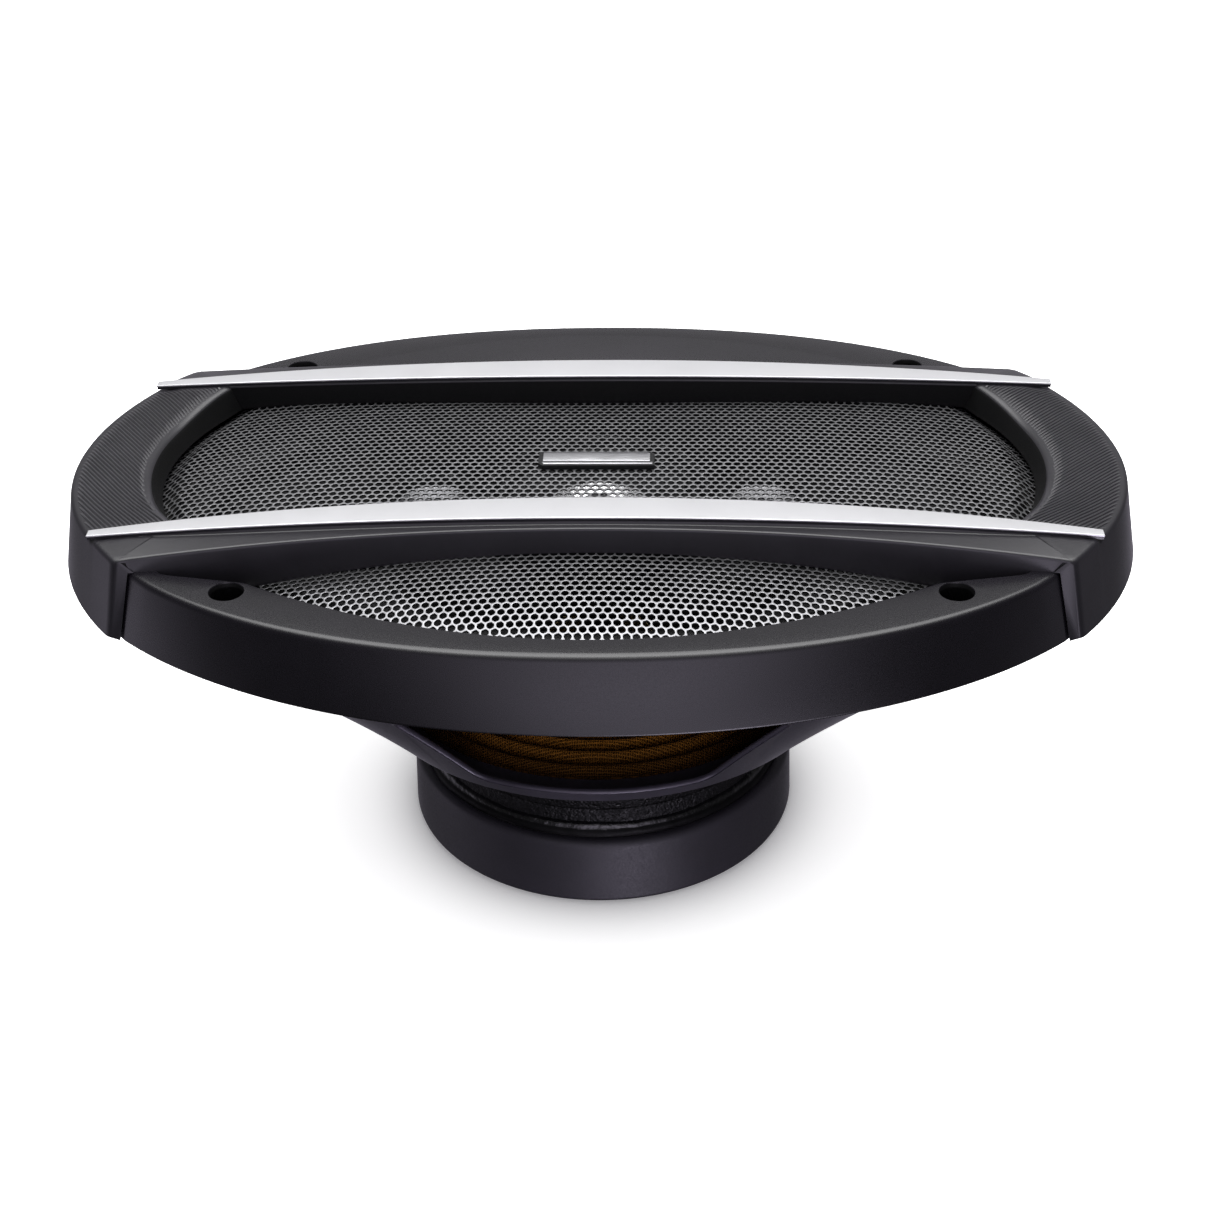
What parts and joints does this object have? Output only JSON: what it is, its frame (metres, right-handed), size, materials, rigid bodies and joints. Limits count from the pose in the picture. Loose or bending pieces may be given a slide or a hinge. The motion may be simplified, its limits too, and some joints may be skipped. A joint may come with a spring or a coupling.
{
  "type": "coaxial car speaker",
  "caption": "Oval coaxial car speaker with an arched perforated grille, silver trim strips, an open steel basket and a rubber-covered magnet.",
  "frame": {"origin": "centre of the magnet cover's foot, on the speaker's axis", "axes": "+X along the oval, +Y across it towards the terminals, +Z out of the grille towards the listener"},
  "size_m": [0.2568, 0.177, 0.1032],
  "materials": {
    "boot_rubber": "satin black moulded rubber",
    "plated_steel": "zinc plated",
    "ferrite": "dark sintered ferrite",
    "black_steel": "rough black phosphate",
    "black_epoxy": "glossy black adhesive",
    "basket_paint": "satin black powder coat",
    "gasket_board": "black fibre board",
    "surround_rubber": "soft black rubber",
    "spider_cloth": "resin-dipped woven cotton",
    "cone_paper": "pressed pulp, black",
    "former_film": "amber polyimide film",
    "coil_wire": "enamelled copper wire",
    "bridge_plastic": "moulded black plastic",
    "silver_film": "metallised film",
    "silver_trim": "satin silver",
    "fibre_board": "brown phenolic board",
    "tinned_brass": "tin plated",
    "rivet_metal": "plain",
    "tinsel": "braided copper tinsel",
    "capacitor_sleeve": "dark blue sleeve",
    "grille_plastic": "fine-grained black ABS",
    "mesh_steel": "perforated steel, grey"
  },
  "bodies": {
    "frame": {"magnet_boot": "boot_rubber", "yoke": "plated_steel", "ferrite_magnet": "ferrite", "top_plate": "black_steel", "adhesive_bead": "black_epoxy", "basket": "basket_paint", "basket_wall": "basket_paint", "flange_gasket": "gasket_board", "cone_surround": "surround_rubber", "spider": "spider_cloth", "centre_post": "black_steel", "post_screw": "plated_steel", "midrange_motor": "black_steel", "tweeter_bridge": "bridge_plastic", "midrange_trim_ring": "silver_trim", "midrange_surround": "surround_rubber", "left_tweeter_housing": "bridge_plastic", "right_tweeter_housing": "bridge_plastic", "left_tweeter_diaphragm": "silver_film", "right_tweeter_diaphragm": "silver_film", "terminal_bracket": "basket_paint", "terminal_board": "fibre_board", "positive_terminal": "tinned_brass", "negative_terminal": "tinned_brass", "terminal_rivets": "rivet_metal", "tinsel_leads": "tinsel", "crossover_capacitor": "capacitor_sleeve", "grille_ring": "grille_plastic", "bezel": "grille_plastic", "front_trim_strip": "silver_trim", "rear_trim_strip": "silver_trim", "centre_grille": "mesh_steel", "front_grille": "mesh_steel", "rear_panel": "grille_plastic", "badge_plate": "silver_trim"},
    "cone_assembly": {"woofer_cone": "cone_paper", "voice_coil_former": "former_film", "voice_coil": "coil_wire"},
    "midrange_diaphragm": {"midrange_cone": "silver_film", "midrange_former": "former_film", "midrange_dust_cap": "silver_film"}
  },
  "joints": [
    {"name": "cone_travel", "type": "slide", "parent": "frame", "child": "cone_assembly", "axis": [0, 0, 1], "range_m": [-0.004, 0.004], "stiffness_N_per_m": 3300, "deforming": ["cone_surround", "spider", "tinsel_leads"]},
    {"name": "midrange_travel", "type": "slide", "parent": "frame", "child": "midrange_diaphragm", "axis": [0, 0, 1], "range_m": [-0.0005, 0.0005], "stiffness_N_per_m": 2000, "deforming": ["midrange_surround"]}
  ]
}
